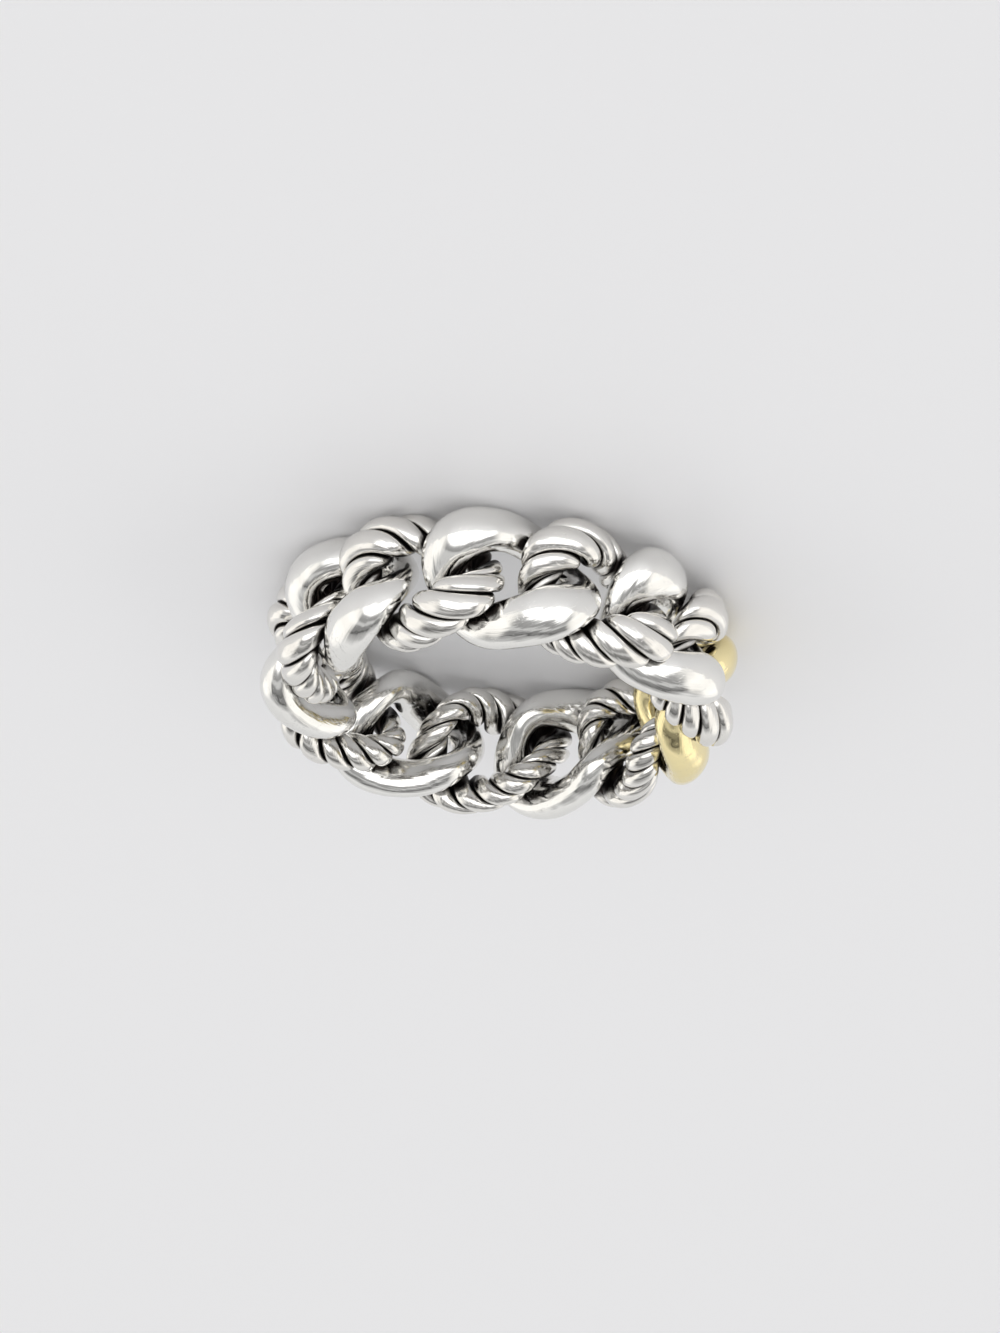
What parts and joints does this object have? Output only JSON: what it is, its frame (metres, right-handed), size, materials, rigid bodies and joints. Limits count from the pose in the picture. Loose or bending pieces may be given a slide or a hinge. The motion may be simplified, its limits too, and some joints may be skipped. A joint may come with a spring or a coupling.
{
  "type": "curb chain ring",
  "caption": "Curb chain ring: smooth and rope-twisted silver links take turns round the finger hole, with a pale yellow gold link among them.",
  "frame": {"origin": "on the ring's axis, at the lowest point of the links, where the ring lies on a surface", "axes": "+Z along the ring's axis, out of the finger hole; -Y to the front, where smooth_link_1 is; the gold link is towards -X and a little +Y"},
  "size_m": [0.0262, 0.0256, 0.0077],
  "materials": {
    "smooth_silver": "polished sterling silver with fine wear scratches",
    "rope_silver": "polished sterling silver strands, blackened in the grooves",
    "gold": "polished pale yellow gold"
  },
  "bodies": {
    "root": {"smooth_link_1": "smooth_silver", "rope_link_1": "rope_silver", "smooth_link_2": "smooth_silver", "rope_link_2": "rope_silver", "smooth_link_3": "smooth_silver", "rope_link_3": "rope_silver", "smooth_link_4": "smooth_silver", "rope_link_4": "rope_silver", "smooth_link_5": "smooth_silver", "rope_link_5": "rope_silver", "gold_link": "gold", "rope_link_6": "rope_silver", "smooth_link_6": "smooth_silver", "rope_link_7": "rope_silver"}
  },
  "joints": []
}
